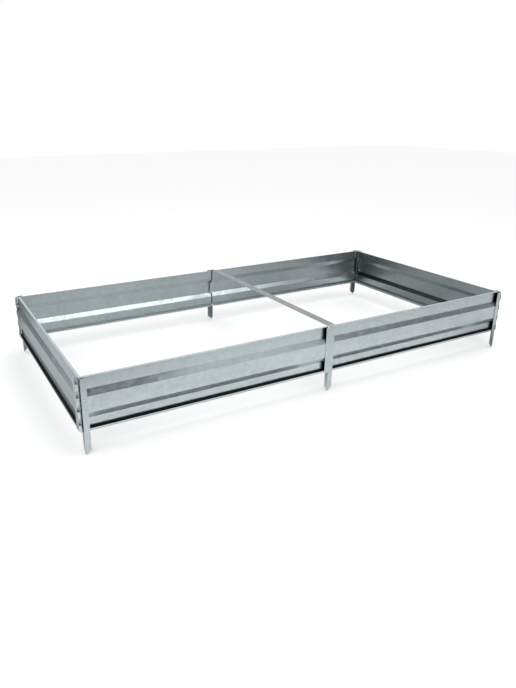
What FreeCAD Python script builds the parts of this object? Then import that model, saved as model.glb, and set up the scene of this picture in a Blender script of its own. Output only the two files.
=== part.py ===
"""Raised garden bed: galvanised sheet walls on six pointed stakes, with a tie across the middle."""
import FreeCAD, Part
import Sketcher
import os
import re

doc = FreeCAD.newDocument("garden_bed")
sizes = doc.addObject("Spreadsheet::Sheet", "sizes")

# Driving dimensions in millimetres. Heights of the wall's profile are measured down from its rim.
DIMENSIONS = {
    "bed_length": 2000,          # between the faces of the recessed bands, along X
    "bed_width": 1000,           # the same, along Y
    "wall_height": 190,
    "stake_reach": 85,           # stake below the wall's foot
    "wall_gauge": 0.8,
    "rim_flange": 10,            # turned inward along the top
    "upper_band": 44,
    "bead_slope": 21.5,          # height of each sloping side of the bead
    "bead_face": 59,
    "bead_depth": 10.2,          # how far the bead and the foot's lip stand out
    "foot_lip": 9,
    "foot_flange": 30,           # inward from the recessed bands
    "stake_gauge": 1.5,
    "stake_front": 22,           # the stake's leg that lies on the long wall
    "stake_side": 18,            # its other leg
    "stake_point": 18,           # height of the slanting cut at its end
    "fold_relief": 3,
    "fit_gap": 0.3,
    "joint_gap": 6,              # between the two sheets of a long wall
    "end_setback": 6,            # the end wall's sheet stops this far inside the corner
    "strip_width": 38,           # strip with loops on each end of an end wall
    "strip_overhang": 9.5,       # how far it reaches past the corner of the recessed bands
    "strip_step": 7.6,           # its outer part is set back towards the stake
    "loop_first": 29,            # middle of the top loop, down from the rim
    "loop_last": 14,             # middle of the bottom loop, up from the wall's foot
    "loop_height": 23,
    "loop_width": 8.5,
    "loop_reach": 9,
    "loop_edge": 2,              # from the strip's outer edge to the loop
    "hook_height": 8,
    "hook_nose": 7,
    "hook_thickness": 2,
    "bracket_gauge": 1,
    "bracket_height": 56,
    "bracket_base": 14,
    "bracket_face": 13,
    "tie_width": 37,
    "tie_gauge": 1.5,
    "tie_offset": 22,            # middle of the tie from the middle of the bed
    "rivet_shank": 4,
    "rivet_head": 8,
    "rivet_rise": 1.1,
    "rivet_spread": 40,          # between the two rivets of a pair
    "hole_play": 0.2,
    "screw_shank": 4,
    "screw_head": 7,
    "screw_rise": 2.4,
    "nut_across": 7,
    "nut_height": 3,
}
for row, (name, value) in enumerate(DIMENSIONS.items(), start=1):
    sizes.set(f"A{row}", name)
    sizes.set(f"B{row}", str(value))
    sizes.setAlias(f"B{row}", name)
doc.recompute()

LOOPS = 4
RIM = "(stake_reach + wall_height)"
LOOP_PITCH = f"((wall_height - loop_first - loop_last) / {LOOPS - 1})"
BEAD_TOP = f"({RIM} - upper_band)"
BEAD_MIDDLE = f"({BEAD_TOP} - bead_slope - bead_face / 2)"
PROUD = "(bead_depth + stake_gauge)"
STRIP_FACE = "(bead_depth - strip_step + wall_gauge)"
VERTEX = "(bed_length / 2 - wall_gauge)"
FOLD = "(strip_half - stake_front)"
HALF_SHEET = f"({VERTEX} - stake_gauge - fit_gap - joint_gap / 2)"


def cells(text):
    """Point every size named in an expression at the sheet."""
    text = text.replace("strip_half", "((stake_front + stake_side) / 2)")
    return re.sub(r"\b([a-z]+_[a-z_]+)\b", r"sizes.\1", text)


def number(text):
    """The present value of an expression."""
    return float(sizes.evalExpression(cells(text).replace("sizes.", "")))


def plane(body, role):
    """One of a body's own origin planes."""
    return next(item for item in body.Origin.OriginFeatures if item.Role == role)


def flat_sketch(body, name, role, offset):
    """An empty sketch on an origin plane, moved along the plane's normal."""
    sketch = body.newObject("Sketcher::SketchObject", name)
    sketch.AttachmentSupport = [(plane(body, role), "")]
    sketch.MapMode = "FlatFace"
    sketch.setExpression("AttachmentOffset.Base.z", cells(offset))
    return sketch


def pin_point(sketch, geometry, point, place):
    """Tie a sketch point to a pair of expressions, measured from the sketch's origin."""
    for kind, axis, text in (("DistanceX", -2, place[0]), ("DistanceY", -1, place[1])):
        if text == "0":
            sketch.addConstraint(Sketcher.Constraint("PointOnObject", geometry, point, axis))
            continue
        index = sketch.addConstraint(Sketcher.Constraint(kind, -1, 1, geometry, point, number(text)))
        sketch.setExpression(f"Constraints[{index}]", cells(text))


def draw_outline(sketch, points):
    """A closed outline whose corners are pairs of expressions."""
    corners = [FreeCAD.Vector(number(x), number(y), 0) for x, y in points]
    first = sketch.GeometryCount
    for index, corner in enumerate(corners):
        sketch.addGeometry(Part.LineSegment(corner, corners[(index + 1) % len(corners)]), False)
    for index in range(len(corners)):
        follower = first + (index + 1) % len(corners)
        sketch.addConstraint(Sketcher.Constraint("Coincident", first + index, 2, follower, 1))
        pin_point(sketch, first + index, 1, points[index])


def draw_circle(sketch, centre, diameter):
    """A circle whose centre and diameter are expressions."""
    middle = FreeCAD.Vector(number(centre[0]), number(centre[1]), 0)
    up = FreeCAD.Vector(0, 0, 1)
    ring = sketch.addGeometry(Part.Circle(middle, up, number(diameter) / 2), False)
    pin_point(sketch, ring, 3, centre)
    index = sketch.addConstraint(Sketcher.Constraint("Diameter", ring, number(diameter)))
    sketch.setExpression(f"Constraints[{index}]", cells(diameter))


def extrude(body, kind, name, role, span, outlines=(), circles=()):
    """Add (Pad) or cut away (Pocket) an outline between two expressions along the plane's axis."""
    low, high = span
    offset = f"-({high})" if role == "XZ_Plane" else low
    sketch = flat_sketch(body, f"{name}_outline", role, offset)
    for points in outlines:
        draw_outline(sketch, points)
    for centre, diameter in circles:
        draw_circle(sketch, centre, diameter)
    before = body.Shape.Volume if kind == "Pocket" else 0
    feature = body.newObject(f"PartDesign::{kind}", name)
    feature.Profile = sketch
    feature.setExpression("Length", cells(f"{high} - ({low})"))
    feature.Reversed = kind == "Pocket"
    sketch.Visibility = False
    doc.recompute()
    if kind == "Pocket" and not body.Shape.Volume < before:
        raise RuntimeError(f"{name} cuts nothing")
    return feature


def rectangle(left, right, low, high):
    """Corners of an upright rectangle."""
    return [(left, low), (right, low), (right, high), (left, high)]


def new_body(label, turn, along="0", across="0"):
    """A piece in its wall's own frame, turned about Z and moved to its place in the bed."""
    body = doc.addObject("PartDesign::Body", label)
    body.Label = label
    body.Placement.Rotation = FreeCAD.Rotation(FreeCAD.Vector(0, 0, 1), turn)
    body.setExpression("Placement.Base.x", cells(along))
    body.setExpression("Placement.Base.y", cells(across))
    return body


def signed(hand, text):
    """An expression, or its negative for the other hand."""
    return text if hand > 0 else f"-({text})"


# ---- Walls: one roll-formed profile, cut to length --------------------------------------------

def wall_profile():
    """Section of a wall: outward is minus, up is plus, with the recessed bands at zero."""
    lean = "wall_gauge * tan(atan(bead_depth / bead_slope) / 2)"
    out = "-bead_depth"
    steps = {
        "rim": RIM,
        "slope_1": BEAD_TOP,
        "bead_1": f"{BEAD_TOP} - bead_slope",
        "bead_2": f"{BEAD_TOP} - bead_slope - bead_face",
        "slope_2": f"{BEAD_TOP} - 2 * bead_slope - bead_face",
        "ledge": "stake_reach + foot_lip",
        "foot": "stake_reach",
    }
    outer = [("rim_flange", steps["rim"]), ("0", steps["rim"]), ("0", steps["slope_1"]),
             (out, steps["bead_1"]), (out, steps["bead_2"]), ("0", steps["slope_2"]),
             ("0", steps["ledge"]), (out, steps["ledge"]), (out, steps["foot"]),
             ("foot_flange", steps["foot"])]
    inner = [("foot_flange", f"{steps['foot']} + wall_gauge"),
             (f"{out} + wall_gauge", f"{steps['foot']} + wall_gauge"),
             (f"{out} + wall_gauge", f"{steps['ledge']} - wall_gauge"),
             ("wall_gauge", f"{steps['ledge']} - wall_gauge"),
             ("wall_gauge", f"{steps['slope_2']} + {lean}"),
             (f"{out} + wall_gauge", f"{steps['bead_2']} + {lean}"),
             (f"{out} + wall_gauge", f"{steps['bead_1']} - {lean}"),
             ("wall_gauge", f"{steps['slope_1']} - {lean}"),
             ("wall_gauge", f"{steps['rim']} - wall_gauge"),
             ("rim_flange", f"{steps['rim']} - wall_gauge")]
    return outer + inner


def rivet_heights():
    """Heights of a pair of rivets in the bead."""
    return [f"{BEAD_MIDDLE} {sign} rivet_spread / 2" for sign in "+-"]


def rivet_holes(body, name, span, columns):
    """Pairs of rivet holes through an upright sheet."""
    places = [((column, height), "rivet_shank + hole_play")
              for column in columns for height in rivet_heights()]
    extrude(body, "Pocket", name, "XZ_Plane", span, circles=places)


def long_wall_sheet(label, turn, hand, tied):
    """Half of a long wall; hand is +1 for the half to the right of its joint, seen from outside."""
    along = "0"
    across = signed(-1 if turn == 0 else 1, "bed_width / 2")
    body = new_body(label, turn, along, across)
    ends = sorted((signed(hand, "joint_gap / 2"), signed(hand, f"joint_gap / 2 + {HALF_SHEET}")),
                  key=number)
    extrude(body, "Pad", f"{label}_sheet", "YZ_Plane", ends, outlines=[wall_profile()])
    columns = [signed(hand, f"{VERTEX} - stake_front / 2"), signed(hand, "strip_half / 2")]
    bead = ("-bead_depth - wall_gauge", "-bead_depth + 2 * wall_gauge")
    rivet_holes(body, f"{label}_rivet_holes", bead, columns)
    if tied:
        hole = ((signed(hand, "tie_offset"), "rim_flange / 2 + wall_gauge / 2"), "screw_shank + hole_play")
        rim = (f"{RIM} - 2 * wall_gauge", f"{RIM} + wall_gauge")
        extrude(body, "Pocket", f"{label}_screw_hole", "XY_Plane", rim, circles=[hole])
    return body


def end_wall_sheet(label, turn):
    """An end wall, with its flanges notched where the long walls' flanges pass."""
    across = signed(-1 if turn < 0 else 1, "bed_length / 2")
    body = new_body(label, turn, across, "0")
    half = "(bed_width / 2 - end_setback)"
    extrude(body, "Pad", f"{label}_sheet", "YZ_Plane", (f"-{half}", half), outlines=[wall_profile()])
    notches = (("rim", "rim_flange", f"{RIM} - 2 * wall_gauge", f"{RIM} + wall_gauge"),
               ("foot", "foot_flange", "stake_reach - wall_gauge", "stake_reach + 2 * wall_gauge"))
    for place, flange, low, high in notches:
        reach = f"({half} + end_setback - {flange} - fit_gap)"
        cuts = [rectangle(*pair, "wall_gauge", f"{flange} + wall_gauge")
                for pair in ((reach, f"{half} + wall_gauge"), (f"-{half} - wall_gauge", f"-{reach}"))]
        extrude(body, "Pocket", f"{label}_{place}_notches", "XY_Plane", (low, high), outlines=cuts)
    bead = ("-bead_depth - wall_gauge", "-bead_depth + 2 * wall_gauge")
    column = f"{half} + end_setback + strip_overhang - strip_width + rivet_head"
    rivet_holes(body, f"{label}_rivet_holes", bead, [column, f"-({column})"])
    return body


# ---- Stakes: strips of thicker sheet, folded to an angle and cut to a point -------------------

def stake_angle(body, label, hand, corner, top, side_top):
    """Angle with its fold at the corner; the front leg runs up to top, the side leg to side_top."""
    far = f"{corner} - {signed(hand, 'stake_front')}"
    fold = f"{corner} - {signed(hand, 'stake_gauge')}"
    front = rectangle(*sorted((far, corner), key=number), f"-{PROUD}", "-bead_depth")
    side = rectangle(*sorted((fold, corner), key=number), f"-{PROUD}", f"stake_side - {PROUD}")
    extrude(body, "Pad", f"{label}_front_leg", "XY_Plane", ("0", top), outlines=[front])
    extrude(body, "Pad", f"{label}_side_leg", "XY_Plane", ("0", side_top), outlines=[side])
    over = signed(hand, "stake_gauge")
    slant = [(corner, "0"), (f"{corner} + {over}", "-stake_gauge"),
             (f"{far} - {over}", "-stake_gauge"),
             (f"{far} - {over}", "stake_point * (1 + stake_gauge / stake_front)")]
    extrude(body, "Pocket", f"{label}_front_slant", "XZ_Plane",
            (f"-{PROUD} - stake_gauge", "stake_side"), outlines=[slant])
    slant = [(f"-{PROUD}", "0"), (f"-{PROUD} - stake_gauge", "-stake_gauge"),
             (f"stake_side - {PROUD} + stake_gauge", "-stake_gauge"),
             (f"stake_side - {PROUD} + stake_gauge", "stake_point * (1 + stake_gauge / stake_side)")]
    span = sorted((f"{fold} - {over}", f"{corner} + {over}"), key=number)
    extrude(body, "Pocket", f"{label}_side_slant", "YZ_Plane", span, outlines=[slant])


def hook_outline(hand, height):
    """Hook seen from the front: out from the fold, through the strip, and down over its face."""
    root = signed(hand, f"{VERTEX} - stake_gauge")
    inside = signed(hand, f"bed_length / 2 + {STRIP_FACE} + fit_gap")
    nose = signed(hand, f"bed_length / 2 + {STRIP_FACE} + fit_gap + hook_thickness")
    sill = f"{height} - loop_height / 2 + fit_gap"
    tip = f"{sill} - hook_nose"
    return [(root, f"{sill} + hook_height"), (root, sill), (inside, sill), (inside, tip),
            (nose, tip), (nose, f"{sill} + hook_height")]


def loop_height(index):
    """Height of the middle of a loop, counted from the top."""
    return f"({RIM} - loop_first - {index} * {LOOP_PITCH})"


def corner_stake(label, turn, hand):
    """Stake folded round a corner; its hooks carry the end wall's strip of loops."""
    across = signed(-1 if turn == 0 else 1, "bed_width / 2")
    body = new_body(label, turn, "0", across)
    stake_angle(body, label, hand, signed(hand, VERTEX), RIM, RIM)
    hooks = [hook_outline(hand, loop_height(index)) for index in range(LOOPS)]
    middle = "(loop_edge + loop_width / 2 - strip_overhang)"
    span = (f"{middle} - stake_gauge / 2", f"{middle} + stake_gauge / 2")
    extrude(body, "Pad", f"{label}_hooks", "XZ_Plane", span, outlines=hooks)
    column = signed(hand, f"{VERTEX} - stake_front / 2")
    rivet_holes(body, f"{label}_rivet_holes", (f"-{PROUD} - stake_gauge", "-bead_depth + fit_gap"), [column])
    return body


def middle_stake(label, turn):
    """Flat cover over the joint of a long wall that folds to an angle below it."""
    across = signed(-1 if turn == 0 else 1, "bed_width / 2")
    body = new_body(label, turn, "0", across)
    stake_angle(body, label, -1, FOLD, RIM, "stake_reach - fold_relief")
    cover = rectangle("-strip_half", FOLD, f"-{PROUD}", "-bead_depth")
    extrude(body, "Pad", f"{label}_cover", "XY_Plane", ("stake_reach", RIM), outlines=[cover])
    rivet_holes(body, f"{label}_rivet_holes", (f"-{PROUD} - stake_gauge", "-bead_depth + fit_gap"),
                ["-strip_half / 2", "strip_half / 2"])
    return body


# ---- Strips with loops on the ends of the end walls --------------------------------------------

def loop_strip(label, turn, hand):
    """Strip on an end wall's bead that steps in to the stake past the wall's end.

    Four loops are pressed out of its set-back part over their windows."""
    across = signed(-1 if turn < 0 else 1, "bed_length / 2")
    body = new_body(label, turn, across, "0")
    edge = "(bed_width / 2 + strip_overhang)"
    back = f"({edge} - strip_width)"
    step = "(bed_width / 2 - end_setback + fit_gap)"
    face = (f"-{STRIP_FACE}", f"wall_gauge - {STRIP_FACE}")
    section = [(back, "-bead_depth"), (step, "-bead_depth"), (step, face[1]), (edge, face[1]),
               (edge, face[0]), (f"{step} + wall_gauge", face[0]),
               (f"{step} + wall_gauge", "-bead_depth - wall_gauge"), (back, "-bead_depth - wall_gauge")]
    extrude(body, "Pad", f"{label}_plate", "XY_Plane", ("stake_reach", RIM),
            outlines=[[(signed(hand, along), out) for along, out in section]])
    near = signed(hand, f"{edge} - loop_edge")
    far = signed(hand, f"{edge} - loop_edge - loop_width")
    windows = [rectangle(*sorted((near, far), key=number), f"{loop_height(index)} - loop_height / 2",
                         f"{loop_height(index)} + loop_height / 2") for index in range(LOOPS)]
    extrude(body, "Pocket", f"{label}_windows", "XZ_Plane",
            (f"{face[0]} - wall_gauge", f"{face[1]} + wall_gauge"), outlines=windows)
    taper = signed(hand, "loop_width / 6")
    skin = signed(hand, "wall_gauge")
    arch = [(near, face[1]), (near, face[0]), (f"{near} - {taper}", f"{face[0]} - loop_reach"),
            (f"{far} + {taper}", f"{face[0]} - loop_reach"), (far, face[0]), (far, face[1]),
            (f"{far} + {skin}", face[1]), (f"{far} + {skin}", face[0]),
            (f"{far} + {taper} + {skin} / 2", f"{face[0]} - loop_reach + wall_gauge"),
            (f"{near} - {taper} - {skin} / 2", f"{face[0]} - loop_reach + wall_gauge"),
            (f"{near} - {skin}", face[0]), (f"{near} - {skin}", face[1])]
    for index in range(LOOPS):
        level = loop_height(index)
        extrude(body, "Pad", f"{label}_loop_{index + 1}", "XY_Plane",
                (f"{level} - loop_height / 2", f"{level} + loop_height / 2"), outlines=[arch])
    rivet_holes(body, f"{label}_rivet_holes", ("-bead_depth - 2 * wall_gauge", "fit_gap - bead_depth"),
                [signed(hand, f"{back} + rivet_head")])
    return body


# ---- Inside the joints, and across the bed -----------------------------------------------------

def joint_bracket(label, turn):
    """Z-shaped bracket in the hollow of the bead, behind the joint of a long wall."""
    across = signed(-1 if turn == 0 else 1, "bed_width / 2")
    body = new_body(label, turn, "0", across)
    back = "(wall_gauge - bead_depth)"
    base = "(-joint_gap / 2 - bracket_base)"
    bend = "(-joint_gap / 2)"
    front = "(wall_gauge)"
    section = [(base, back), (bend, back), (bend, f"{front} - bracket_gauge"),
               (f"{bend} + bracket_face", f"{front} - bracket_gauge"),
               (f"{bend} + bracket_face", front), (f"{bend} - bracket_gauge", front),
               (f"{bend} - bracket_gauge", f"{back} + bracket_gauge"), (base, f"{back} + bracket_gauge")]
    extrude(body, "Pad", f"{label}_section", "XY_Plane",
            (f"{BEAD_MIDDLE} - bracket_height / 2", f"{BEAD_MIDDLE} + bracket_height / 2"),
            outlines=[section])
    rivet_holes(body, f"{label}_rivet_holes", (f"{back} - fit_gap", f"{back} + 2 * bracket_gauge"),
                ["-strip_half / 2"])
    return body


def cross_tie(label):
    """Flat strip under the rims of the long walls, which stops them spreading."""
    body = new_body(label, 0)
    reach = "(bed_width / 2 - wall_gauge - fit_gap)"
    sides = ("tie_offset - tie_width / 2", "tie_offset + tie_width / 2")
    levels = (f"{RIM} - wall_gauge - tie_gauge", f"{RIM} - wall_gauge")
    extrude(body, "Pad", f"{label}_strip", "XY_Plane", levels,
            outlines=[rectangle(*sides, f"-{reach}", reach)])
    screw = "bed_width / 2 - rim_flange / 2 - wall_gauge / 2"
    holes = [(("tie_offset", place), "screw_shank + hole_play") for place in (screw, f"-({screw})")]
    extrude(body, "Pocket", f"{label}_screw_holes", "XY_Plane",
            (f"{levels[0]} - tie_gauge", f"{levels[1]} + fit_gap"), circles=holes)
    return body


# ---- Rivets and screws: groups of turned pieces -------------------------------------------------

def turned(name, diameter, height, base, axis):
    """A cylinder from a base point along an axis."""
    piece = doc.addObject("Part::Cylinder", name)
    piece.setExpression("Radius", cells(f"({diameter}) / 2"))
    piece.setExpression("Height", cells(height))
    piece.Placement.Rotation = FreeCAD.Rotation(FreeCAD.Vector(0, 0, 1), axis)
    for letter, text in zip("xyz", base):
        piece.setExpression(f"Placement.Base.{letter}", cells(text))
    return piece


def fused(label, pieces):
    """Several solids in one named group; those that touch become one solid."""
    group = doc.addObject("Part::MultiFuse", label)
    group.Label = label
    group.Shapes = pieces
    return group


def rivets(label, places, outward, face, grip):
    """Pop rivets: a head on the outer face, a shank through the sheets and a set end inside.

    places are (x, y) expressions on the outer face, outward is the wall's normal there, and grip is
    the thickness of the sheets."""
    along = 0 if outward[0] else 1
    sign = outward[along]
    axis = FreeCAD.Vector(*outward, 0)
    pieces = []
    for spot, (across, height) in enumerate(places, start=1):
        for kind, diameter, start, length in (
                ("head", "rivet_head", face, "rivet_rise"),
                ("shank", "rivet_shank", f"{face} - {grip} - rivet_rise", f"{grip} + 1.5 * rivet_rise"),
                ("set", "rivet_shank + rivet_rise", f"{face} - {grip} - rivet_rise", "rivet_rise")):
            base = [across, across, height]
            base[along] = signed(sign, start)
            pieces.append(turned(f"{label}_{kind}_{spot}", diameter, length, base, axis))
    return fused(label, pieces)


def tie_screws(label, side):
    """Screw from above through the rim and the tie, with its nut below, as one bolted pair."""
    place = signed(side, "bed_width / 2 - rim_flange / 2 - wall_gauge / 2")
    up = FreeCAD.Vector(0, 0, 1)
    below = f"{RIM} - wall_gauge - tie_gauge"
    spot = ["tie_offset", place]
    head = turned(f"{label}_head", "screw_head", "screw_rise", [*spot, RIM], up)
    shank = turned(f"{label}_shank", "screw_shank", "wall_gauge + tie_gauge + nut_height + 2 * screw_rise",
                   [*spot, f"{below} - nut_height - screw_rise"], up)
    return fused(label, [head, shank])


def tie_nut(label, side):
    """Hexagon nut under the tie."""
    place = signed(side, "bed_width / 2 - rim_flange / 2 - wall_gauge / 2")
    blank = doc.addObject("Part::Prism", f"{label}_blank")
    blank.Polygon = 6
    blank.setExpression("Circumradius", cells("nut_across / 2 / cos(30)"))
    blank.setExpression("Height", cells("nut_height"))
    top = f"{RIM} - wall_gauge - tie_gauge"
    for letter, text in zip("xyz", ("tie_offset", place, f"{top} - nut_height")):
        blank.setExpression(f"Placement.Base.{letter}", cells(text))
    bore = turned(f"{label}_bore", "screw_shank", "3 * nut_height",
                  ["tie_offset", place, f"{top} - 2 * nut_height"], FreeCAD.Vector(0, 0, 1))
    nut = doc.addObject("Part::Cut", label)
    nut.Label = label
    nut.Base = blank
    nut.Tool = bore
    return nut


# ---- Putting the bed together -------------------------------------------------------------------

parts = [
    long_wall_sheet("front_left_wall", 0, -1, False),
    long_wall_sheet("front_right_wall", 0, 1, True),
    long_wall_sheet("back_left_wall", 180, 1, False),
    long_wall_sheet("back_right_wall", 180, -1, True),
    end_wall_sheet("left_end_wall", -90),
    end_wall_sheet("right_end_wall", 90),
    middle_stake("front_middle_stake", 0),
    middle_stake("back_middle_stake", 180),
    joint_bracket("front_joint_bracket", 0),
    joint_bracket("back_joint_bracket", 180),
    cross_tie("cross_tie"),
]
for label, turn, hand in (("front_left", 0, -1), ("front_right", 0, 1),
                          ("back_left", 180, 1), ("back_right", 180, -1)):
    parts.append(corner_stake(f"{label}_corner_stake", turn, hand))
for label, turn, hand in (("front_left", -90, 1), ("back_left", -90, -1),
                          ("front_right", 90, -1), ("back_right", 90, 1)):
    parts.append(loop_strip(f"{label}_loop_strip", turn, hand))

for wall, side in (("front", -1), ("back", 1)):
    face = f"(bed_width / 2 + {PROUD})"
    for corner, hand in (("left", -1), ("right", 1)):
        column = signed(hand, f"{VERTEX} - stake_front / 2")
        parts.append(rivets(f"{wall}_{corner}_stake_rivets", [(column, height) for height in rivet_heights()],
                            (0, side), face, "(stake_gauge + wall_gauge)"))
    for corner, hand in (("left", -1), ("right", 1)):
        column = signed(hand, "strip_half / 2")
        backed = hand == side
        grip = "(stake_gauge + wall_gauge + bracket_gauge)" if backed else "(stake_gauge + wall_gauge)"
        parts.append(rivets(f"{wall}_{corner}_joint_rivets", [(column, height) for height in rivet_heights()],
                            (0, side), face, grip))
    parts.append(tie_screws(f"{wall}_tie_screw", side))
    parts.append(tie_nut(f"{wall}_tie_nut", side))

for end, hand in (("left", -1), ("right", 1)):
    face = "(bed_length / 2 + bead_depth + wall_gauge)"
    for wall, side in (("front", -1), ("back", 1)):
        row = signed(side, "bed_width / 2 + strip_overhang - strip_width + rivet_head")
        parts.append(rivets(f"{end}_{wall}_strip_rivets", [(row, height) for height in rivet_heights()],
                            (hand, 0), face, "(2 * wall_gauge)"))

doc.recompute()
for item in doc.Objects:
    if {"Invalid", "Error"} & set(item.State):
        raise RuntimeError(f"{item.Name}: {item.State}")
os.makedirs("parts", exist_ok=True)
for piece in parts:
    if piece.Shape.isNull() or not piece.Shape.isValid():
        raise RuntimeError(f"{piece.Label} has no valid shape")
for piece in parts:
    piece.Shape.exportStep(f"parts/{piece.Label}.step")
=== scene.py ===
import math
import bpy
import bmesh
from mathutils import Matrix, Vector, noise


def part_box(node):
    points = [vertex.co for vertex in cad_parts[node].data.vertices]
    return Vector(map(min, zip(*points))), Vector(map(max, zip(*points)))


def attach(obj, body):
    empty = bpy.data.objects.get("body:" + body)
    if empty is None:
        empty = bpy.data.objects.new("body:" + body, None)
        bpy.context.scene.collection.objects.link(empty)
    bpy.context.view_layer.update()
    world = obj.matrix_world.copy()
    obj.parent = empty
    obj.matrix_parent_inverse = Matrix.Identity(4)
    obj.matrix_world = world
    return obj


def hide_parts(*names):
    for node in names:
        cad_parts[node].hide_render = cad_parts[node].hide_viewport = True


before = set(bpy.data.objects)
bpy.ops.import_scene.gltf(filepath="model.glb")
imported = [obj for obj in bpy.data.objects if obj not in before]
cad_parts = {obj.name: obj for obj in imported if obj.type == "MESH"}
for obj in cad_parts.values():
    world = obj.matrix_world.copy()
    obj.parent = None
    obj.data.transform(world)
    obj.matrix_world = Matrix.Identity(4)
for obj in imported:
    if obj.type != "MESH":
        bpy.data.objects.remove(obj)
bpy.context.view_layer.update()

# ---- Wall sheets ---------------------------------------------------------------------------------
# Six lengths of one profile, rolled from thin galvanised sheet: a rim turned in, a rib standing out
# between two flat bands, a small lip at the foot and a wide flange under the soil side.
front_low, front_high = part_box("front_left_wall")
end_low, end_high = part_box("left_end_wall")
gauge = 0.0008
rib_out = 0.0102
half_length = -end_low.x - rib_out
half_width = -front_low.y - rib_out
rim_z = front_high.z
foot_z = front_low.z
rim_in = 0.010
foot_in = 0.030
rim_band = 0.044
rib_slope = 0.0215
rib_face = 0.059
lip_height = 0.009
rib_top = rim_z - rim_band
rib_bottom = rib_top - 2 * rib_slope - rib_face
ledge_z = foot_z + lip_height
wall_profile = [
    (rim_in, rim_z),
    (0.0, rim_z),
    (0.0, rib_top),
    (-rib_out, rib_top - rib_slope),
    (-rib_out, rib_top - rib_slope - rib_face),
    (0.0, rib_bottom),
    (0.0, ledge_z),
    (-rib_out, ledge_z),
    (-rib_out, foot_z),
    (foot_in, foot_z),
]
wall_places = {"front": (0, (0, -half_width)), "back": (180, (0, half_width)),
               "left": (-90, (-half_length, 0)), "right": (90, (half_length, 0))}
bend_radius = 0.0016
widest_bend = 0.012
wall_cuts = 48
band_cuts = 3
tiny = 1e-6
hair = 1e-4


def bent_line(bm, points):
    """A line of edges through the points."""
    line = [bm.verts.new(point) for point in points]
    return [bm.edges.new(pair) for pair in zip(line, line[1:])]


def draw_out(bm, edges, along):
    """Draw edges out into faces, and give back the vertices of the far side."""
    drawn = bmesh.ops.extrude_edge_only(bm, edges=edges)["geom"]
    far_side = [item for item in drawn if isinstance(item, bmesh.types.BMVert)]
    bmesh.ops.translate(bm, verts=far_side, vec=along)
    return far_side


def round_bends(bm, radius, segments=3):
    """Round every edge that lies between two faces."""
    bends = [edge for edge in bm.edges if len(edge.link_faces) == 2]
    bmesh.ops.bevel(bm, geom=bends, offset=radius, segments=segments, profile=0.5,
                    affect="EDGES", material=-1)


def edge_run(edge, axis):
    """How far an edge runs along an axis."""
    return abs(edge.verts[0].co[axis] - edge.verts[1].co[axis])


def folded_sheet(start, end):
    """A wall's sheet, folded along its profile and drawn out along x, with rounded bends."""
    bm = bmesh.new()
    section = bent_line(bm, [(start, y, z) for y, z in wall_profile])
    draw_out(bm, section, (end - start, 0, 0))
    round_bends(bm, bend_radius)
    across = [edge for edge in bm.edges if edge_run(edge, 0) < tiny and edge.calc_length() > widest_bend]
    bmesh.ops.subdivide_edges(bm, edges=across, cuts=band_cuts, use_grid_fill=True)
    along = [edge for edge in bm.edges if edge_run(edge, 0) > hair]
    bmesh.ops.subdivide_edges(bm, edges=along, cuts=wall_cuts, use_grid_fill=True)
    return bm


def face_outwards(bm, towards):
    """Turn a whole sheet over if most of it faces away from the given direction."""
    bm.normal_update()
    if sum(face.normal.dot(Vector(towards)) * face.calc_area() for face in bm.faces) < 0:
        bmesh.ops.reverse_faces(bm, faces=bm.faces[:])


wave_depth = 0.0004
wave_spacing = 0.11
least_bend_angle = 0.05


def ripple(bm, seed):
    """Slight waves of a rolled sheet between its bends, which stay straight."""
    bm.normal_update()
    bends = [edge for edge in bm.edges
             if len(edge.link_faces) == 2 and edge.calc_face_angle() > least_bend_angle]
    still = {vertex for edge in bends for vertex in edge.verts}
    still |= {vertex for vertex in bm.verts if vertex.is_boundary}
    for vertex in bm.verts:
        if vertex not in still:
            spot = vertex.co / wave_spacing + Vector((seed, 0, 0))
            vertex.co += vertex.normal * wave_depth * noise.noise(spot)


def place(bm, side):
    """Carry a piece from the frame of the front wall to the wall that it belongs to."""
    turn, (x, y) = wall_places[side]
    bm.transform(Matrix.Translation((x, y, 0)) @ Matrix.Rotation(math.radians(turn), 4, "Z"))


def make_piece(bm, name, material, nodes, thickness=0.0, rounding=0.0):
    """Finish a mesh as a named piece that stands for its nodes."""
    mesh = bpy.data.meshes.new(name)
    bm.to_mesh(mesh)
    bm.free()
    mesh.polygons.foreach_set("use_smooth", [True] * len(mesh.polygons))
    piece = bpy.data.objects.new(name, mesh)
    bpy.context.scene.collection.objects.link(piece)
    mesh.materials.append(material)
    if thickness:
        wall = piece.modifiers.new("gauge", "SOLIDIFY")
        wall.thickness = thickness
        wall.offset = -1
        wall.use_even_offset = True
    if rounding:
        edge = piece.modifiers.new("edge", "BEVEL")
        edge.width = rounding
        edge.segments = 2
        edge.limit_method = "ANGLE"
        edge.angle_limit = math.radians(50)
    shade = piece.modifiers.new("shade", "WEIGHTED_NORMAL")
    shade.keep_sharp = True
    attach(piece, "root")
    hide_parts(*nodes)
    return piece


def new_material(name):
    """A material, its node tree and its shader."""
    material = bpy.data.materials.new(name)
    material.use_nodes = True
    return material, material.node_tree, material.node_tree.nodes["Principled BSDF"]


def socket_link(tree, source, target):
    """Join two sockets."""
    tree.links.new(source, target)


def add_node(tree, kind, **settings):
    """A shader node with its settings and plain input values."""
    node = tree.nodes.new(kind)
    for key, value in settings.items():
        if key in node.inputs:
            node.inputs[key].default_value = value
        else:
            setattr(node, key, value)
    return node


def value_range(tree, source, start, end, low=0.0, high=1.0, way="LINEAR"):
    """Carries a value from the range between start and end to the one between low and high."""
    carried = add_node(tree, "ShaderNodeMapRange", interpolation_type=way)
    for name, value in (("From Min", start), ("From Max", end), ("To Min", low), ("To Max", high)):
        carried.inputs[name].default_value = value
    socket_link(tree, source, carried.inputs["Value"])
    return carried.outputs["Result"]


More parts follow.
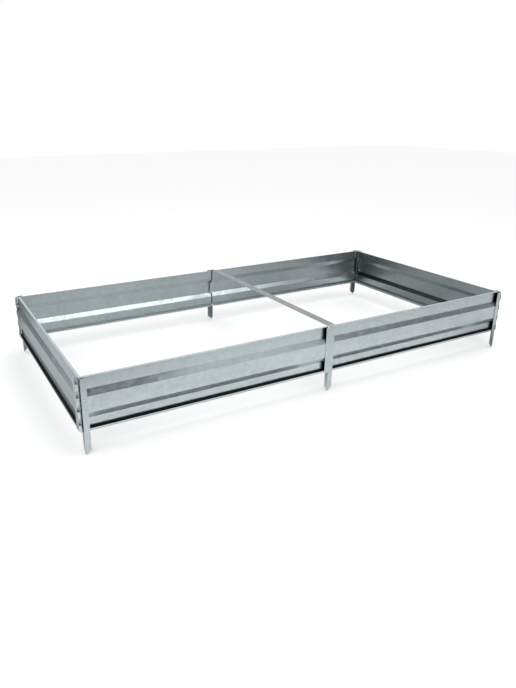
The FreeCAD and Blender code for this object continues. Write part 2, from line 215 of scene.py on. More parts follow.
def soft_range(tree, source, start, end):
    """Rises smoothly from 0 at start to 1 at end."""
    return value_range(tree, source, start, end, way="SMOOTHSTEP")


def math_step(tree, operation, first, second):
    """Two values put together; the second may be a plain number."""
    step = add_node(tree, "ShaderNodeMath", operation=operation)
    socket_link(tree, first, step.inputs[0])
    if isinstance(second, (int, float)):
        step.inputs[1].default_value = second
    else:
        socket_link(tree, second, step.inputs[1])
    return step.outputs["Value"]


def product(tree, *sources):
    """The product of several values."""
    total = sources[0]
    for source in sources[1:]:
        total = math_step(tree, "MULTIPLY", total, source)
    return total


def coordinate_parts(tree, kind="Object"):
    """The x, y and z of a surface point's place, or of the way that it faces."""
    spot = add_node(tree, "ShaderNodeTexCoord")
    parts = add_node(tree, "ShaderNodeSeparateXYZ")
    socket_link(tree, spot.outputs[kind], parts.inputs["Vector"])
    return parts.outputs


def colour_of(tone, factor=1.0):
    """A tone, made lighter or darker by a factor, as a shader's colour."""
    return (*[part * factor for part in tone], 1)


def stain(material, mask, tone):
    """Take a material's colour to another tone where the mask is 1."""
    tree = material.node_tree
    base = tree.nodes["Principled BSDF"].inputs["Base Color"]
    mixed = add_node(tree, "ShaderNodeMix", data_type="RGBA")
    mixed.inputs["B"].default_value = colour_of(tone)
    socket_link(tree, mask, mixed.inputs["Factor"])
    socket_link(tree, base.links[0].from_socket, mixed.inputs["A"])
    socket_link(tree, mixed.outputs["Result"], base)


zinc_metallic = 0.92
crystal_warp = 0.012
crystal_share = 0.45


def galvanised(name, tone, seed, grain, roughness=(0.30, 0.46)):
    """Hot-dip zinc: soft crystals in slightly different greys, cloudy patches and rolling lines."""
    material, tree, shader = new_material(name)
    shader.inputs["Metallic"].default_value = zinc_metallic
    spot = add_node(tree, "ShaderNodeTexCoord")
    shift = add_node(tree, "ShaderNodeMapping", Location=(seed, seed * 0.7, seed * 0.3))
    socket_link(tree, spot.outputs["Object"], shift.inputs["Vector"])
    stretch = add_node(tree, "ShaderNodeMapping", Scale=grain)
    socket_link(tree, shift.outputs["Vector"], stretch.inputs["Vector"])
    warp = add_node(tree, "ShaderNodeTexNoise", Scale=90.0, Detail=2.0)
    socket_link(tree, shift.outputs["Vector"], warp.inputs["Vector"])
    bent = add_node(tree, "ShaderNodeVectorMath", operation="MULTIPLY_ADD")
    bent.inputs[1].default_value = (crystal_warp, crystal_warp, crystal_warp)
    socket_link(tree, warp.outputs["Color"], bent.inputs[0])
    socket_link(tree, shift.outputs["Vector"], bent.inputs[2])
    crystals = add_node(tree, "ShaderNodeTexVoronoi", feature="SMOOTH_F1", Scale=70.0, Smoothness=0.35)
    socket_link(tree, bent.outputs["Vector"], crystals.inputs["Vector"])
    clouds = add_node(tree, "ShaderNodeTexNoise", Scale=7.0, Detail=5.0, Roughness=0.6)
    socket_link(tree, shift.outputs["Vector"], clouds.inputs["Vector"])
    lines = add_node(tree, "ShaderNodeTexNoise", Scale=60.0, Detail=4.0, Roughness=0.7)
    socket_link(tree, stretch.outputs["Vector"], lines.inputs["Vector"])

    pick = add_node(tree, "ShaderNodeSeparateColor")
    socket_link(tree, crystals.outputs["Color"], pick.inputs["Color"])
    base = add_node(tree, "ShaderNodeMix", data_type="RGBA")
    base.inputs["A"].default_value = colour_of(tone, 0.95)
    base.inputs["B"].default_value = colour_of(tone, 1.04)
    socket_link(tree, pick.outputs["Red"], base.inputs["Factor"])
    dull = add_node(tree, "ShaderNodeMix", data_type="RGBA", blend_type="MULTIPLY")
    dull.inputs["B"].default_value = (0.90, 0.93, 0.93, 1)
    socket_link(tree, value_range(tree, clouds.outputs["Fac"], 0.35, 0.70), dull.inputs["Factor"])
    socket_link(tree, base.outputs["Result"], dull.inputs["A"])
    socket_link(tree, dull.outputs["Result"], shader.inputs["Base Color"])

    blend = add_node(tree, "ShaderNodeMath", operation="MULTIPLY_ADD")
    blend.inputs[1].default_value = crystal_share
    socket_link(tree, pick.outputs["Green"], blend.inputs[0])
    socket_link(tree, math_step(tree, "MULTIPLY", lines.outputs["Fac"], 1 - crystal_share), blend.inputs[2])
    rough = value_range(tree, blend.outputs["Value"], 0.25, 0.75, *roughness)
    socket_link(tree, rough, shader.inputs["Roughness"])

    grain_bump = add_node(tree, "ShaderNodeBump", Strength=0.10, Distance=0.0004)
    socket_link(tree, lines.outputs["Fac"], grain_bump.inputs["Height"])
    crystal_bump = add_node(tree, "ShaderNodeBump", Strength=0.16, Distance=0.0006)
    socket_link(tree, crystals.outputs["Distance"], crystal_bump.inputs["Height"])
    socket_link(tree, grain_bump.outputs["Normal"], crystal_bump.inputs["Normal"])
    socket_link(tree, crystal_bump.outputs["Normal"], shader.inputs["Normal"])
    return material


outer_faces = {"front": ("Y", -1, half_width), "back": ("Y", 1, half_width),
               "left": ("X", -1, half_length), "right": ("X", 1, half_length)}
# Painted shade: its tone, its reach above the ledge and up the lower band, and its width beside the stakes.
painted_shade_tone = (0.018, 0.022, 0.024)
fold_shade_height = 0.0105
fold_shade_full = 0.35
fold_shade_wander = 0.004
sharp_fade = 0.00005
fade_start = 0.0012
fade_end = 0.0004
band_shade_height = 0.036
band_shade_full = 0.028
rib_clear = 0.004
rib_touch = 0.001
stake_shade_wide = 0.024
stake_shade_full = 0.004
stake_cover = 0.030
cover_fade = 0.002
dust_tone = (0.44, 0.48, 0.49)
dust_start = 0.0006
dust_full = 0.002
dust_metallic = 0.35


def painted_shade_and_dust(material, side, stake_edges=(), band_shade=0.0):
    """Painted shade above the ledge, beside the stakes and on the lower band, and dust on the flange."""
    tree = material.node_tree
    parts = coordinate_parts(tree)
    axis, sign, face = outer_faces[side]
    across = parts[axis]
    height = parts["Z"]
    outside = soft_range(tree, across, sign * (face - gauge / 2 - sharp_fade),
                         sign * (face - gauge / 2 + sharp_fade))
    below = soft_range(tree, height, ledge_z - fade_start, ledge_z - fade_end)
    band_top = soft_range(tree, height, ledge_z + band_shade_height, ledge_z + band_shade_full)
    # Painted shade on the outer lower band, up from the ledge, at the given strength.
    shaded_band = product(tree, outside, band_top, below)
    stain(material, math_step(tree, "MULTIPLY", shaded_band, band_shade), painted_shade_tone)

    # Painted shade in the fold just above the ledge, its top edge wandering a little.
    spot = add_node(tree, "ShaderNodeTexCoord")
    wander = add_node(tree, "ShaderNodeTexNoise", Scale=14.0, Detail=3.0)
    socket_link(tree, spot.outputs["Object"], wander.inputs["Vector"])
    lift = add_node(tree, "ShaderNodeMath", operation="MULTIPLY_ADD")
    lift.inputs[1].default_value = -fold_shade_wander
    socket_link(tree, wander.outputs["Fac"], lift.inputs[0])
    socket_link(tree, height, lift.inputs[2])
    above = soft_range(tree, lift.outputs["Value"], ledge_z + fold_shade_height,
                       ledge_z + fold_shade_height * fold_shade_full)
    stain(material, product(tree, outside, above, below), painted_shade_tone)

    # Painted shade on the recessed bands, darkening towards each given stake edge and ending under the
    # stake.
    recessed = soft_range(tree, across, sign * (face + rib_clear), sign * (face + rib_touch))
    for edge in stake_edges:
        reach = soft_range(tree, parts["X"], edge - stake_shade_wide, edge - stake_shade_full)
        end = soft_range(tree, parts["X"], edge + stake_cover + cover_fade, edge + stake_cover - cover_fade)
        stain(material, product(tree, outside, recessed, below, reach, end), painted_shade_tone)

    inner = soft_range(tree, across, sign * (face - dust_start), sign * (face - dust_full))
    low = soft_range(tree, height, foot_z + gauge + fade_start, foot_z + gauge + fade_end)
    dust = product(tree, inner, low)
    stain(material, dust, dust_tone)
    shine = value_range(tree, dust, 0, 1, zinc_metallic, dust_metallic)
    socket_link(tree, shine, tree.nodes["Principled BSDF"].inputs["Metallic"])


# Painted shade on the inside of the right end wall: its tone, its overall strength and its strength on the
# lower slope.
inner_shade_tone = (0.02, 0.024, 0.026)
inner_shade_share = 0.28
slope_shade_share = 0.88
slope_margin = 0.001
slope_fade = 0.002


def painted_inner_shade(material):
    """Painted shade on the inside of the right end, and nearly black painted shade where its rib slopes in
    at the bottom.
    """
    tree = material.node_tree
    inner = soft_range(tree, coordinate_parts(tree, "Normal")["X"], -0.4, -0.6)
    height = coordinate_parts(tree)["Z"]
    slope_top = rib_bottom + rib_slope
    above = soft_range(tree, height, rib_bottom - slope_margin, rib_bottom + slope_fade)
    below = soft_range(tree, height, slope_top + slope_margin, slope_top - slope_fade)
    slope = product(tree, inner, above, below)
    stain(material, math_step(tree, "MULTIPLY", inner, inner_shade_share), inner_shade_tone)
    stain(material, math_step(tree, "MULTIPLY", slope, slope_shade_share), inner_shade_tone)


zinc_grey = (0.53, 0.583, 0.60)
lines_along_x = (0.05, 1, 1)
lines_along_y = (1, 0.05, 1)
lines_along_z = (1, 1, 0.05)
middle_stake_edge = -0.020
corner_stake_edge = half_length - 0.023
# Stake edges beside which the long walls get painted shade.
stake_shaded_edges = {"front_left_wall": [middle_stake_edge], "front_right_wall": [corner_stake_edge]}
for order, (name, side, mirrored) in enumerate((("front_left_wall", "front", False),
                                                ("front_right_wall", "front", True),
                                                ("back_right_wall", "back", False),
                                                ("back_left_wall", "back", True))):
    ends = (-front_high.x, -front_low.x) if mirrored else (front_low.x, front_high.x)
    sheet = folded_sheet(*ends)
    face_outwards(sheet, (0, -1, 0))
    ripple(sheet, 3.0 * order)
    place(sheet, side)
    zinc = galvanised(f"{name}_zinc", zinc_grey, 1.7 * order, lines_along_x)
    painted_shade_and_dust(zinc, side, stake_shaded_edges.get(name, []))
    make_piece(sheet, f"{name}_sheet", zinc, [name], thickness=gauge)

notch_play = 0.0003


def notch_flange(sheet, hand, flange, level):
    """Cut the end off an end wall's flange, where the long wall's own flange lies."""
    reach = half_width - flange - notch_play
    bmesh.ops.bisect_plane(sheet, geom=sheet.verts[:] + sheet.edges[:] + sheet.faces[:],
                           plane_co=(hand * reach, 0, 0), plane_no=(1, 0, 0))
    spare = []
    for face in sheet.faces:
        middle = face.calc_center_median()
        if abs(middle.z - level) < gauge and middle.y > bend_radius and hand * middle.x > reach:
            spare.append(face)
    bmesh.ops.delete(sheet, geom=spare, context="FACES")


for order, side in enumerate(("left", "right")):
    sheet = folded_sheet(-end_high.y, end_high.y)
    for hand in (-1, 1):
        notch_flange(sheet, hand, rim_in, rim_z)
        notch_flange(sheet, hand, foot_in, foot_z)
    face_outwards(sheet, (0, -1, 0))
    ripple(sheet, 20 + 3.0 * order)
    place(sheet, side)
    zinc = galvanised(f"{side}_end_zinc", zinc_grey, 9.1 + order, lines_along_y)
    # The left end also gets painted shade on its lower band.
    painted_shade_and_dust(zinc, side, band_shade=0.5 if side == "left" else 0.0)
    # The right end gets painted shade on its inside.
    if side == "right":
        painted_inner_shade(zinc)
    make_piece(sheet, f"{side}_end_sheet", zinc, [f"{side}_end_wall"], thickness=gauge)

# ---- Stakes --------------------------------------------------------------------------------------
# Strips of thicker sheet with a slanting point. Corner stakes are folded to an angle all the way and
# have hooks lanced from the fold; middle stakes are flat covers that fold only below the wall.
stake_gauge = 0.0015
front_leg = 0.022
side_leg = 0.018
point_height = 0.018
fold_radius = 0.0022
fold_relief = 0.003
stake_edge_rounding = 0.0003
fold_x = half_length - gauge
leg_y = -rib_out - stake_gauge
# Painted shade on the stakes' hidden faces and on the right-end loops' legs: its tone, and its strength
# below the wall.
stake_and_loop_shade_tone = (0.03, 0.034, 0.036)
shade_below_foot = 0.55
foot_fade = 0.003


def stake_painted_shade(material):
    """Painted shade on a stake's inner faces, weaker below the wall, and on its side faces behind it."""
    tree = material.node_tree
    spot = add_node(tree, "ShaderNodeTexCoord")
    outward = add_node(tree, "ShaderNodeVectorMath", operation="DOT_PRODUCT")
    socket_link(tree, spot.outputs["Object"], outward.inputs[0])
    socket_link(tree, spot.outputs["Normal"], outward.inputs[1])
    inner_face = soft_range(tree, outward.outputs["Value"], -0.1, -0.3)
    side_face = soft_range(tree, outward.outputs["Value"], 0.75, 0.9)
    behind_wall = soft_range(tree, coordinate_parts(tree)["Z"], foot_z, foot_z + foot_fade)
    strength = value_range(tree, behind_wall, 0, 1, shade_below_foot, 1)
    covered = math_step(tree, "MAXIMUM", product(tree, inner_face, strength),
                        product(tree, side_face, behind_wall))
    stain(material, covered, stake_and_loop_shade_tone)


stake_zinc = galvanised("stake_zinc", (0.50, 0.553, 0.567), 4.4, lines_along_z, roughness=(0.28, 0.42))
# Painted shade on the stakes' hidden faces.
stake_painted_shade(stake_zinc)


def angle_stake(corner, hand, front_top, side_top):
    """Two legs meeting at a rounded fold; hand is the side of the fold that the front leg leaves."""
    bm = bmesh.new()
    outline = [(corner - hand * front_leg, leg_y), (corner, leg_y), (corner, leg_y + side_leg)]
    draw_out(bm, bent_line(bm, [(x, y, 0) for x, y in outline]), (0, 0, side_top))
    round_bends(bm, fold_radius, segments=4)
    for slope in ((hand * point_height / front_leg, 0, 1), (0, -point_height / side_leg, 1)):
        everything = bm.verts[:] + bm.edges[:] + bm.faces[:]
        bmesh.ops.bisect_plane(bm, geom=everything, plane_co=(corner, leg_y, 0), plane_no=slope,
                               clear_inner=True)
    if front_top > side_top:
        lip = [edge for edge in bm.edges
               if all(abs(v.co.z - side_top) < tiny and abs(v.co.y - leg_y) < tiny for v in edge.verts)]
        draw_out(bm, lip, (0, 0, front_top - side_top))
    return bm


loop_first = 0.029
loop_pitch = 0.049
loop_levels = [rim_z - loop_first - loop_pitch * row for row in range(4)]
loop_tall = 0.023
hook_tall = 0.008
hook_nose = 0.007
hook_thick = 0.002
fit_gap = 0.0003
strip_over = 0.0095
strip_step = 0.0076
loop_edge = 0.002
loop_wide = 0.0085
loop_near = half_width + strip_over - loop_edge
loop_far = loop_near - loop_wide
strip_face = rib_out - strip_step + gauge
hook_y = (loop_near + loop_far) / 2 - half_width


def add_hook(bm, hand, level):
    """A flat hook, out from the fold, through the strip's window and down over its sill."""
    sill = level - loop_tall / 2 + fit_gap
    root = fold_x - stake_gauge / 2
    inside = half_length + strip_face + fit_gap
    shape = [(root, sill + hook_tall), (root, sill), (inside, sill), (inside, sill - hook_nose),
             (inside + hook_thick, sill - hook_nose), (inside + hook_thick, sill + hook_tall)]
    corners = [bm.verts.new((hand * x, -hook_y + stake_gauge / 2, z)) for x, z in shape]
    flat = bm.faces.new(corners)
    bm.normal_update()
    if flat.normal.y > 0:
        flat.normal_flip()


for side, corner, hand in (("front", "left", -1), ("front", "right", 1),
                           ("back", "right", -1), ("back", "left", 1)):
    stake = angle_stake(hand * fold_x, hand, rim_z, rim_z)
    face_outwards(stake, (0, -1, 0))
    for level in loop_levels:
        add_hook(stake, hand, level)
    place(stake, side)
    make_piece(stake, f"{side}_{corner}_corner_stake_angle", stake_zinc,
               [f"{side}_{corner}_corner_stake"], thickness=stake_gauge, rounding=stake_edge_rounding)

cover_half = (front_leg + side_leg) / 2
long_edge = 0.1
for side in ("front", "back"):
    stake = angle_stake(cover_half - front_leg, -1, rim_z, foot_z - fold_relief)
    left_edge = min(v.co.x for v in stake.verts if v.co.z > foot_z - fold_relief + hair)
    side_edges = [edge for edge in stake.edges if edge.is_boundary and edge_run(edge, 2) > long_edge
                  and all(abs(v.co.x - left_edge) < tiny and abs(v.co.y - leg_y) < tiny for v in edge.verts)]
    for vertex in draw_out(stake, side_edges, (-cover_half - left_edge, 0, 0)):
        vertex.co.z = max(vertex.co.z, foot_z)
    face_outwards(stake, (0, -1, 0))
    place(stake, side)
    make_piece(stake, f"{side}_middle_stake_cover", stake_zinc,
               [f"{side}_middle_stake"], thickness=stake_gauge, rounding=stake_edge_rounding)

# ---- Strips with loops ---------------------------------------------------------------------------
# A strip riveted to each end of an end wall, which steps in to the stake past the wall's end. Four
# windows are cut in its set-back part and a narrow strap of each is pressed out to a rounded loop.
strip_wide = 0.038
end_setback = 0.006
bend_cut = 0.0006
loop_reach = 0.009
arch_steps = 10
arch_fullness = 0.6
leg_start = 0.0004
leg_full = 0.0014


def loop_painted_shade(material):
    """The same painted shade on the legs of the loops at the bed's right end."""
    tree = material.node_tree
    steep = add_node(tree, "ShaderNodeMath", operation="ABSOLUTE")
    socket_link(tree, coordinate_parts(tree, "Normal")["Y"], steep.inputs[0])
    strip_x = half_length + strip_face
    past_strip = soft_range(tree, coordinate_parts(tree)["X"], strip_x + leg_start, strip_x + leg_full)
    leg = product(tree, soft_range(tree, steep.outputs["Value"], 0.3, 0.7), past_strip)
    stain(material, leg, stake_and_loop_shade_tone)


strip_zinc = galvanised("strip_zinc", (0.58, 0.62, 0.63), 7.3, lines_along_z)
# Painted shade on the loops' legs at the right end.
loop_painted_shade(strip_zinc)


def strip_with_loops(hand):
    """The stepped strip with its loops, in the frame of the front wall."""
    edge = half_width + strip_over
    step = half_width - end_setback + fit_gap + gauge
    raised = -(rib_out + gauge)
    columns = [(edge - strip_wide, raised), (step - bend_cut, raised), (step, raised + bend_cut),
               (step, -strip_face - bend_cut), (step + bend_cut, -strip_face), (loop_far, -strip_face),
               (loop_near, -strip_face), (edge, -strip_face)]
    levels = sorted([foot_z, rim_z] + [z + sign * loop_tall / 2 for z in loop_levels for sign in (-1, 1)])
    bm = bmesh.new()
    grid = [[bm.verts.new((hand * x, y, z)) for z in levels] for x, y in columns]
    window = columns.index((loop_far, -strip_face))
    for column in range(len(columns) - 1):
        for row in range(len(levels) - 1):
            if column == window and row % 2 == 1:
                continue
            bm.faces.new([grid[column][row], grid[column + 1][row],
                          grid[column + 1][row + 1], grid[column][row + 1]])
    for row in range(1, len(levels) - 1, 2):
        ends = []
        for level in (row, row + 1):
            arch = [grid[window][level]]
            for part in range(1, arch_steps):
                turn = math.pi * part / arch_steps
                lean = math.copysign(abs(math.cos(turn)) ** arch_fullness, math.cos(turn))
                x = (loop_near + loop_far) / 2 - loop_wide / 2 * lean
                y = -strip_face - loop_reach * math.sin(turn) ** arch_fullness
                arch.append(bm.verts.new((hand * x, y, levels[level])))
            arch.append(grid[window + 1][level])
            ends.append(arch)
        for part in range(arch_steps):
            bm.faces.new([ends[0][part], ends[0][part + 1], ends[1][part + 1], ends[1][part]])
    return bm


for side, corner, hand in (("left", "front", 1), ("left", "back", -1),
                           ("right", "front", -1), ("right", "back", 1)):
    strip = strip_with_loops(hand)
    bmesh.ops.recalc_face_normals(strip, faces=strip.faces[:])
    face_outwards(strip, (0, -1, 0))
    place(strip, side)
    make_piece(strip, f"{corner}_{side}_strip_plate", strip_zinc,
               [f"{corner}_{side}_loop_strip"], thickness=gauge)

# ---- Joint brackets ------------------------------------------------------------------------------
# Z-shaped brackets pressed from sheet, in the hollow of the rib behind each joint of a long wall.
bracket_low, bracket_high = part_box("front_joint_bracket")
bracket_gauge = 0.001
bracket_bend = 0.0012
small_rounding = 0.0002
joint_gap = 0.006
joint_x = -joint_gap / 2
behind_rib = gauge - rib_out
behind_band = gauge - bracket_gauge
bracket_outline = [(bracket_low.x, behind_rib), (joint_x, behind_rib),
                   (joint_x, behind_band), (bracket_high.x, behind_band)]
for side in ("front", "back"):
    bm = bmesh.new()
    section = bent_line(bm, [(x, y, bracket_low.z) for x, y in bracket_outline])
    draw_out(bm, section, (0, 0, bracket_high.z - bracket_low.z))
    round_bends(bm, bracket_bend)
    face_outwards(bm, (0, -1, 0))
    place(bm, side)
    make_piece(bm, f"{side}_bracket_pressing", strip_zinc,
               [f"{side}_joint_bracket"], thickness=bracket_gauge, rounding=small_rounding)

# ---- Cross tie -----------------------------------------------------------------------------------
# One flat strip across the bed, its long edges rolled down a little for stiffness, screwed up under
# the rims of the long walls.
tie_low, tie_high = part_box("cross_tie")
tie_gauge = 0.0012
hem = 0.0012
tie_zinc = galvanised("tie_zinc", (0.30, 0.32, 0.315), 12.9, lines_along_y)
bm = bmesh.new()
tie_outline = [(tie_low.x, tie_high.z - hem), (tie_low.x + hem, tie_high.z),
               (tie_high.x - hem, tie_high.z), (tie_high.x, tie_high.z - hem)]
draw_out(bm, bent_line(bm, [(x, tie_low.y, z) for x, z in tie_outline]), (0, tie_high.y - tie_low.y, 0))
lengthwise = [edge for edge in bm.edges if edge_run(edge, 1) > long_edge]
bmesh.ops.subdivide_edges(bm, edges=lengthwise, cuts=40, use_grid_fill=True)
face_outwards(bm, (0, 0, 1))
make_piece(bm, "cross_tie_strip", tie_zinc, ["cross_tie"], thickness=tie_gauge)

# ---- Rivets, screws and nuts ---------------------------------------------------------------------
# Aluminium pop rivets with low domed heads and a small dimple where the pin broke off, and one
# zinc-plated pan-head screw with a hexagon nut at each end of the tie.


def turned_shape(profile, sides=20):
    """A shape turned about its z axis from (radius, height) points."""
    bm = bmesh.new()
    bent_line(bm, [(radius, 0, height) for radius, height in profile])
    bmesh.ops.spin(bm, geom=bm.verts[:] + bm.edges[:], cent=(0, 0, 0), axis=(0, 0, 1),
                   angle=2 * math.pi, steps=sides, use_merge=True)
    bmesh.ops.remove_doubles(bm, verts=bm.verts[:], dist=tiny)
    bmesh.ops.recalc_face_normals(bm, faces=bm.faces[:])
    return bm


def metal(name, tone, roughness):
    """Bright turned metal with fine turning marks and a little handling dirt."""
    material, tree, shader = new_material(name)
    shader.inputs["Metallic"].default_value = 1.0
    spot = add_node(tree, "ShaderNodeTexCoord")
    dirt = add_node(tree, "ShaderNodeTexNoise", Scale=500.0, Detail=3.0)
    socket_link(tree, spot.outputs["Object"], dirt.inputs["Vector"])
    colour = add_node(tree, "ShaderNodeMix", data_type="RGBA")
    colour.inputs["A"].default_value = colour_of(tone, 0.8)
    colour.inputs["B"].default_value = colour_of(tone)
    socket_link(tree, dirt.outputs["Fac"], colour.inputs["Factor"])
    socket_link(tree, colour.outputs["Result"], shader.inputs["Base Color"])
    gloss = value_range(tree, dirt.outputs["Fac"], 0, 1, roughness * 0.8, roughness * 1.3)
    socket_link(tree, gloss, shader.inputs["Roughness"])
    marks = add_node(tree, "ShaderNodeBump", Strength=0.15, Distance=0.0002)
    socket_link(tree, dirt.outputs["Fac"], marks.inputs["Height"])
    socket_link(tree, marks.outputs["Normal"], shader.inputs["Normal"])
    return material


rivet_metal = metal("rivet_aluminium", (0.72, 0.74, 0.75), 0.32)
head_radius = 0.004
head_rise = 0.0011
shank_radius = 0.002
rivet_groups = [f"{wall}_{corner}_{kind}_rivets" for wall in ("front", "back")
                for corner in ("left", "right") for kind in ("stake", "joint")]
rivet_groups += [f"{end}_{wall}_strip_rivets" for end in ("left", "right") for wall in ("front", "back")]
for group in rivet_groups:
    low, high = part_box(group)
    outward = 0 if high.x - low.x < high.y - low.y else 1
    sign = math.copysign(1, (low + high)[outward])
    grip = high[outward] - low[outward] - head_rise
    dimple = head_rise * 0.75
    profile = [(0, dimple), (shank_radius * 0.5, dimple), (shank_radius * 0.6, head_rise),
               (head_radius * 0.6, head_rise * 0.9), (head_radius * 0.88, head_rise * 0.55),
               (head_radius, head_rise * 0.12), (head_radius * 0.97, 0), (shank_radius, 0),
               (shank_radius, -grip + head_rise), (shank_radius * 1.25, -grip + head_rise * 0.8),
               (shank_radius * 1.2, -grip + head_rise * 0.2), (0, -grip)]
    turn = sign * (90 if outward == 0 else -90)
    aim = Matrix.Rotation(math.radians(turn), 4, "YX"[outward])
    pair = bmesh.new()
    for level in (low.z + head_radius, high.z - head_radius):
        rivet = turned_shape(profile)
        centre = (low + high) / 2
        centre.z = level
        centre[outward] = (high if sign > 0 else low)[outward] - sign * head_rise
        rivet.transform(Matrix.Translation(centre) @ aim)
        loose = bpy.data.meshes.new("rivet")
        rivet.to_mesh(loose)
        rivet.free()
        pair.from_mesh(loose)
        bpy.data.meshes.remove(loose)
    make_piece(pair, f"{group}_set", rivet_metal, [group])

screw_zinc = metal("screw_zinc", (0.62, 0.63, 0.60), 0.30)
tip_chamfer = 0.0006
nut_chamfer = 0.0004
for wall in ("front", "back"):
    low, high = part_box(f"{wall}_tie_screw")
    radius = (high.x - low.x) / 2
    head = high.z - rim_z
    profile = [(0, rim_z + head * 0.55), (radius * 0.3, rim_z + head * 0.55), (radius * 0.34, high.z),
               (radius * 0.7, high.z - head * 0.08), (radius * 0.93, high.z - head * 0.4),
               (radius, rim_z + head * 0.1), (radius * 0.98, rim_z), (shank_radius, rim_z),
               (shank_radius, low.z + tip_chamfer), (shank_radius * 0.7, low.z), (0, low.z)]
    screw = turned_shape(profile, sides=24)
    screw.transform(Matrix.Translation(((low.x + high.x) / 2, (low.y + high.y) / 2, 0)))
    make_piece(screw, f"{wall}_tie_screw_turned", screw_zinc, [f"{wall}_tie_screw"])

    low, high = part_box(f"{wall}_tie_nut")
    flats = (high.y - low.y) / 2 / math.cos(math.radians(30))
    bore_end = shank_radius + nut_chamfer
    face_end = flats - nut_chamfer
    profile = [(shank_radius, low.z + nut_chamfer), (bore_end, low.z), (face_end, low.z),
               (flats, low.z + nut_chamfer), (flats, high.z - nut_chamfer), (face_end, high.z),
               (bore_end, high.z), (shank_radius, high.z - nut_chamfer), (shank_radius, low.z + nut_chamfer)]
    nut = turned_shape(profile, sides=6)
    nut.transform(Matrix.Translation(((low.x + high.x) / 2, (low.y + high.y) / 2, 0)))
    make_piece(nut, f"{wall}_tie_nut_hexagon", screw_zinc, [f"{wall}_tie_nut"],
               rounding=small_rounding)

# ---- Studio --------------------------------------------------------------------------------------
# A pale floor at the stakes' points, a white surround and two soft lamps. Lit cards that only
# reflections see give each band of the bright metal its own tone.
scene = bpy.context.scene
scene.view_settings.view_transform = "Standard"

floor_mesh = bpy.data.meshes.new("floor")
bm = bmesh.new()
bmesh.ops.create_grid(bm, x_segments=1, y_segments=1, size=14)
bm.to_mesh(floor_mesh)
bm.free()
floor = bpy.data.objects.new("floor", floor_mesh)
scene.collection.objects.link(floor)
floor_paint, _, shader = new_material("floor_paint")
shader.inputs["Base Color"].default_value = (0.97, 0.97, 0.97, 1)
shader.inputs["Roughness"].default_value = 0.9
shader.inputs["Specular IOR Level"].default_value = 0.0
floor_mesh.materials.append(floor_paint)


def either_shader(tree, choice, first, second):
    """The first shader where the choice is 0 and the second where it is 1."""
    mixed = add_node(tree, "ShaderNodeMixShader")
    for place_in, source in enumerate((choice, first, second)):
        socket_link(tree, source, mixed.inputs[place_in])
    return mixed.outputs["Shader"]


world = bpy.data.worlds.new("studio")
scene.world = world
world.use_nodes = True
tree = world.node_tree
tree.nodes.clear()
path = add_node(tree, "ShaderNodeLightPath")
seen = path.outputs["Is Camera Ray"]
for ray in ("Is Transmission Ray", "Is Glossy Ray"):
    seen = math_step(tree, "MAXIMUM", seen, path.outputs[ray])
light = add_node(tree, "ShaderNodeBackground", Color=(1, 1, 1, 1), Strength=0.98)
white = add_node(tree, "ShaderNodeBackground", Color=(1, 1, 1, 1), Strength=1.0)
both = either_shader(tree, seen, light.outputs["Background"], white.outputs["Background"])
out = add_node(tree, "ShaderNodeOutputWorld")
socket_link(tree, both, out.inputs["Surface"])


def soft_lamp(name, where, aim, size, power):
    """A square soft lamp aimed at a point."""
    lamp = bpy.data.lights.new(name, "AREA")
    lamp.shape = "SQUARE"
    lamp.size = size
    lamp.energy = power
    holder = bpy.data.objects.new(name, lamp)
    holder.location = where
    holder.rotation_euler = (Vector(aim) - Vector(where)).to_track_quat("-Z", "Y").to_euler()
    holder.visible_camera = False
    holder.visible_glossy = False
    scene.collection.objects.link(holder)


soft_lamp("key", (-2.5, -2.5, 3.4), (0, 0, 0.1), 2.2, 25)
soft_lamp("overhead", (0.2, -0.3, 3.0), (0, 0, 0), 2.0, 22)


def card(name, corners, near, far=None, one_sided=False):
    """A lit card that only reflections see; its brightness may run from near to far along x."""
    mesh = bpy.data.meshes.new(name)
    bm = bmesh.new()
    bm.faces.new([bm.verts.new(corner) for corner in corners])
    bm.to_mesh(mesh)
    bm.free()
    board = bpy.data.objects.new(name, mesh)
    scene.collection.objects.link(board)
    board.visible_camera = False
    board.visible_diffuse = False
    board.visible_shadow = False
    board.visible_transmission = False
    paint, tree, _ = new_material(f"{name}_paint")
    tree.nodes.clear()
    glow = add_node(tree, "ShaderNodeEmission", Color=(0.97, 1.0, 1.0, 1), Strength=near)
    if far is not None:
        across = [x for x, y, z in corners]
        run = value_range(tree, coordinate_parts(tree)["X"], min(across), max(across), near, far)
        socket_link(tree, run, glow.inputs["Strength"])
    shown = glow.outputs["Emission"]
    if one_sided:
        facing = add_node(tree, "ShaderNodeNewGeometry")
        clear = add_node(tree, "ShaderNodeBsdfTransparent")
        shown = either_shader(tree, facing.outputs["Backfacing"], shown, clear.outputs["BSDF"])
    surface = add_node(tree, "ShaderNodeOutputMaterial")
    socket_link(tree, shown, surface.inputs["Surface"])
    mesh.materials.append(paint)


def upright(left, right, low, high):
    """Corners of an upright card between two points of the floor."""
    return [(*left, low), (*right, low), (*right, high), (*left, high)]


def lying(x_low, x_high, y_low, y_high):
    """Corners of a card that lies just over the floor."""
    level = 0.003
    return [(x_low, y_low, level), (x_high, y_low, level), (x_high, y_high, level), (x_low, y_high, level)]


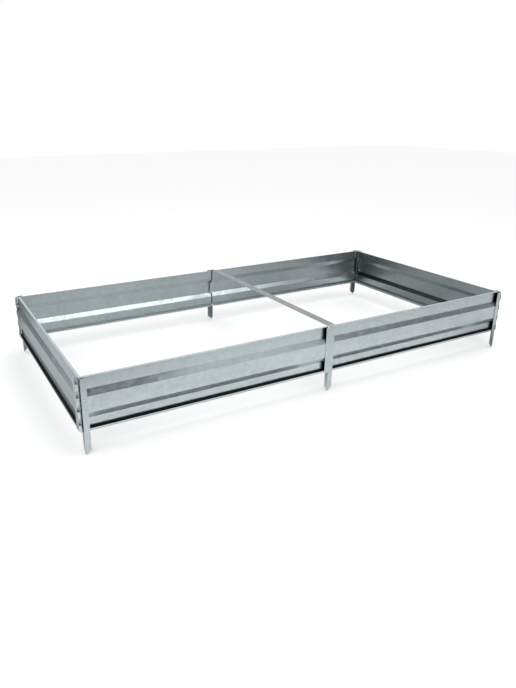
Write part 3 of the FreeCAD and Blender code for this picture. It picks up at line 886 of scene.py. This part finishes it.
card("front_left_card", upright((-1.4, -1.0), (-0.48, -1.0), 0.14, 0.84), 0.02)
card("front_middle_card", upright((-0.50, -1.0), (0.32, -1.0), 0.22, 0.78), 0.74, 0.60)
card("front_right_card", upright((0.32, -1.0), (2.1, -1.0), 0.22, 0.78), 0.09)
card("front_floor_card", lying(-1.3, 2.6, -1.8, -0.98), 0.70)
card("band_card", upright((-1.1, -1.05), (1.3, -1.05), 0.86, 1.7), 3.6)
card("far_right_card", upright((1.35, -1.05), (2.6, -1.05), 0.80, 2.2), 0.08)
card("behind_card", upright((0.1, -0.3), (0.1, 3.2), 0.29, 2.6), 0.45, one_sided=True)
card("low_left_card", upright((-2.4, 0.95), (-1.05, 0.95), 0.0, 0.6), 0.14)
card("bed_left_card", lying(-0.96, 0.25, -0.46, 0.46), 0.66, 0.54)
card("bed_right_card", lying(0.25, 0.78, -0.46, 0.0), 0.76, 0.66)
card("bed_back_card", lying(0.25, 0.78, 0.0, 0.46), 0.34, 0.22)
card("bed_end_card", lying(0.78, 0.96, -0.46, 0.02), 0.40, 0.03)
card("bed_corner_card", lying(0.78, 0.965, 0.02, 0.46), 0.40)
card("corner_back_card", upright((0.45, 0.487), (0.9965, 0.487), 0.089, 0.272), 0.10, 0.01, one_sided=True)
card("corner_right_card", upright((0.987, 0.4965), (0.987, 0.0), 0.089, 0.272), 0.02, one_sided=True)
card("front_left_foot_card", lying(-0.93, -0.06, -0.60, -0.515), 0.17)
card("front_right_foot_card", lying(0.11, 0.93, -0.60, -0.515), 0.09)
card("corner_foot_card", lying(0.985, 1.3, -0.72, -0.50), 0.2)
card("left_foot_card", lying(-1.08, -1.022, -0.5, 1.1), 0.24, 0.0)
card("left_floor_card", lying(-1.7, -1.08, -0.45, 2.5), 0.67)

camera_data = bpy.data.cameras.new("camera")
camera = bpy.data.objects.new("camera", camera_data)
scene.collection.objects.link(camera)
scene.camera = camera
camera_dip = 0.351
camera_turn = -0.500
camera.location = (-1.4073, -2.2099, 1.0656)
camera.rotation_euler = (math.pi / 2 - camera_dip, 0, camera_turn)
camera_data.lens = 30.815
camera_data.shift_x = 0.0500
camera_data.shift_y = -0.0233
